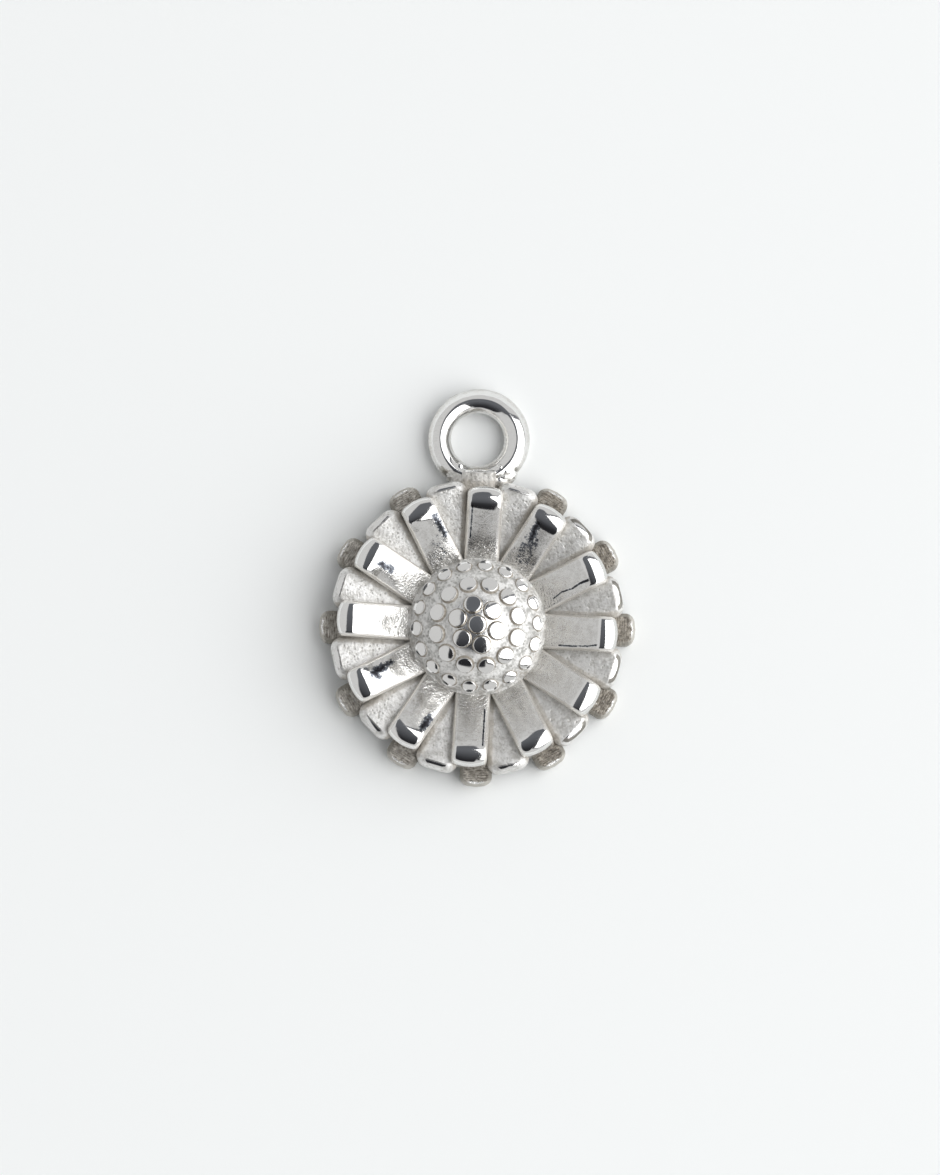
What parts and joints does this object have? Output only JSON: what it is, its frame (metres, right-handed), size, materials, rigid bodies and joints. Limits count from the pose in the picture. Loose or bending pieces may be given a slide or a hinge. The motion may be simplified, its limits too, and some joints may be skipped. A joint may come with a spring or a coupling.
{
  "type": "flower pendant",
  "caption": "Small cast silver daisy charm with three tiers of petals, a studded dome and a round hanging loop whose hole runs front to back.",
  "frame": {"origin": "on the flower's axis, in the plane of its flat back", "axes": "+Z out of the flower's face, +Y from the flower's middle towards the hanging loop"},
  "size_m": [0.015, 0.0189, 0.0043],
  "materials": {
    "silver": "polished crests, studs and loop on a satin ground, lightly tarnished in its recesses"
  },
  "bodies": {
    "root": {"flower_pendant": "silver"}
  },
  "joints": []
}
